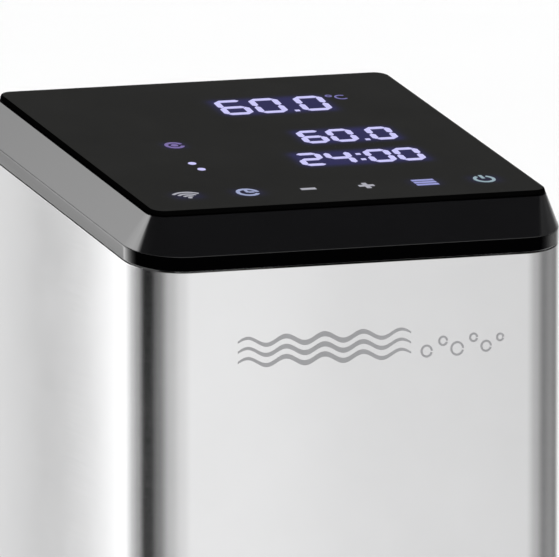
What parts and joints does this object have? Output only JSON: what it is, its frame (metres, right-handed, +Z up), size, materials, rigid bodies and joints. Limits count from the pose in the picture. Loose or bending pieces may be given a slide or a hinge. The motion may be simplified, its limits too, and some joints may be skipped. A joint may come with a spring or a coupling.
{
  "type": "sous vide circulator",
  "caption": "Immersion circulator with a slanted touch panel on a square steel head, slotted heater column and a screw clamp that grips a pot's rim.",
  "frame": {"origin": "centre of the outlet cap's underside, on the column's axis", "axes": "+Z up the column, -Y towards the user and the low edge of the panel, +Y towards the pot clamp's screw"},
  "size_m": [0.11, 0.1645, 0.339],
  "materials": {
    "sleeve_steel": "satin, fine horizontal grain",
    "column_steel": "fine grain",
    "polished_steel": "polished",
    "cap_gloss_black": "high gloss",
    "panel_glass": "dark tinted, gloss",
    "black_plastic": "fine moulded texture",
    "black_rubber": "soft matt",
    "silicone_red": "matt",
    "board_green": "solder mask",
    "display_light": "lit display",
    "aluminium": "anodised",
    "brass": "turned",
    "zinc_steel": "zinc plated",
    "copper_winding": "enamelled wire",
    "transformer_yellow": "tape wrapped",
    "mark_ink": "printed"
  },
  "bodies": {
    "head": {"head_shell": "sleeve_steel", "head_base": "black_plastic", "top_cap": "cap_gloss_black", "touch_glass": "panel_glass", "cap_gasket": "silicone_red", "tie_screw_1": "zinc_steel", "tie_screw_2": "zinc_steel", "tie_screw_3": "zinc_steel", "tie_screw_4": "zinc_steel", "power_inlet": "black_plastic", "inlet_pin_live": "brass", "inlet_pin_neutral": "brass", "inlet_pin_earth": "brass", "inlet_screw_left": "zinc_steel", "inlet_screw_right": "zinc_steel", "control_board": "board_green", "display_module": "display_light", "touch_sensor": "board_green", "power_board": "board_green", "heater_relay": "black_plastic", "supply_transformer": "transformer_yellow", "heat_sink": "aluminium", "motor_plate": "zinc_steel", "motor_standoff_1": "brass", "motor_standoff_2": "brass", "motor_standoff_3": "brass", "motor_standoff_4": "brass", "motor_can": "zinc_steel", "motor_stator": "copper_winding", "motor_endbell": "aluminium", "element_flange": "column_steel", "flange_seal": "silicone_red", "shaft_tube": "polished_steel", "upper_bush": "brass", "lower_bush": "brass", "shaft_seal": "black_rubber", "pump_housing": "black_plastic", "heater_coil": "polished_steel", "temperature_probe": "polished_steel", "level_probe_high": "polished_steel", "level_probe_low": "polished_steel"},
    "rotor": {"drive_shaft": "polished_steel", "motor_shaft": "polished_steel", "shaft_coupling": "aluminium", "rotor_core": "zinc_steel", "cooling_fan": "black_plastic", "impeller": "black_plastic"},
    "skirt": {"column_skirt": "column_steel"},
    "outlet": {"outlet_cap": "black_plastic"},
    "clamp": {"clamp_bracket": "black_plastic", "collar_liner": "black_rubber", "fixed_jaw_pad": "black_rubber", "threaded_insert": "brass", "lock_bolt": "zinc_steel", "lever_pin": "zinc_steel"},
    "lever": {"lock_lever": "black_plastic"},
    "pad": {"pressure_pad": "zinc_steel", "pad_face": "black_rubber"},
    "screw": {"clamp_screw": "zinc_steel", "screw_knob": "black_plastic"}
  },
  "joints": [
    {"name": "rotor_spin", "type": "hinge", "parent": "head", "child": "rotor", "pos_m": [0, 0, 0.1], "axis": [0, 0, 1], "continuous": true},
    {"name": "skirt_twist", "type": "hinge", "parent": "head", "child": "skirt", "pos_m": [0, 0, 0.1565], "axis": [0, 0, 1], "range_deg": [0, 30]},
    {"name": "outlet_turn", "type": "hinge", "parent": "skirt", "child": "outlet", "pos_m": [0, 0, 0.02], "axis": [0, 0, 1], "range_deg": [-60, 60]},
    {"name": "clamp_height", "type": "slide", "parent": "head", "child": "clamp", "axis": [0, 0, 1], "range_m": [-0.06, 0]},
    {"name": "lever_swing", "type": "hinge", "parent": "clamp", "child": "lever", "pos_m": [0.016, -0.044, 0.148], "axis": [0, 0, -1], "range_deg": [0, 95]},
    {"name": "pad_travel", "type": "slide", "parent": "clamp", "child": "pad", "axis": [0, -1, 0], "range_m": [0, 0.018]},
    {"name": "screw_turn", "type": "hinge", "parent": "pad", "child": "screw", "pos_m": [0, 0.08, 0.112], "axis": [0, -1, 0], "range_deg": [0, 2160]}
  ],
  "couplings": [
    {"joint": "screw_turn", "follows": "pad_travel", "rad_per_m": 2094.4}
  ]
}
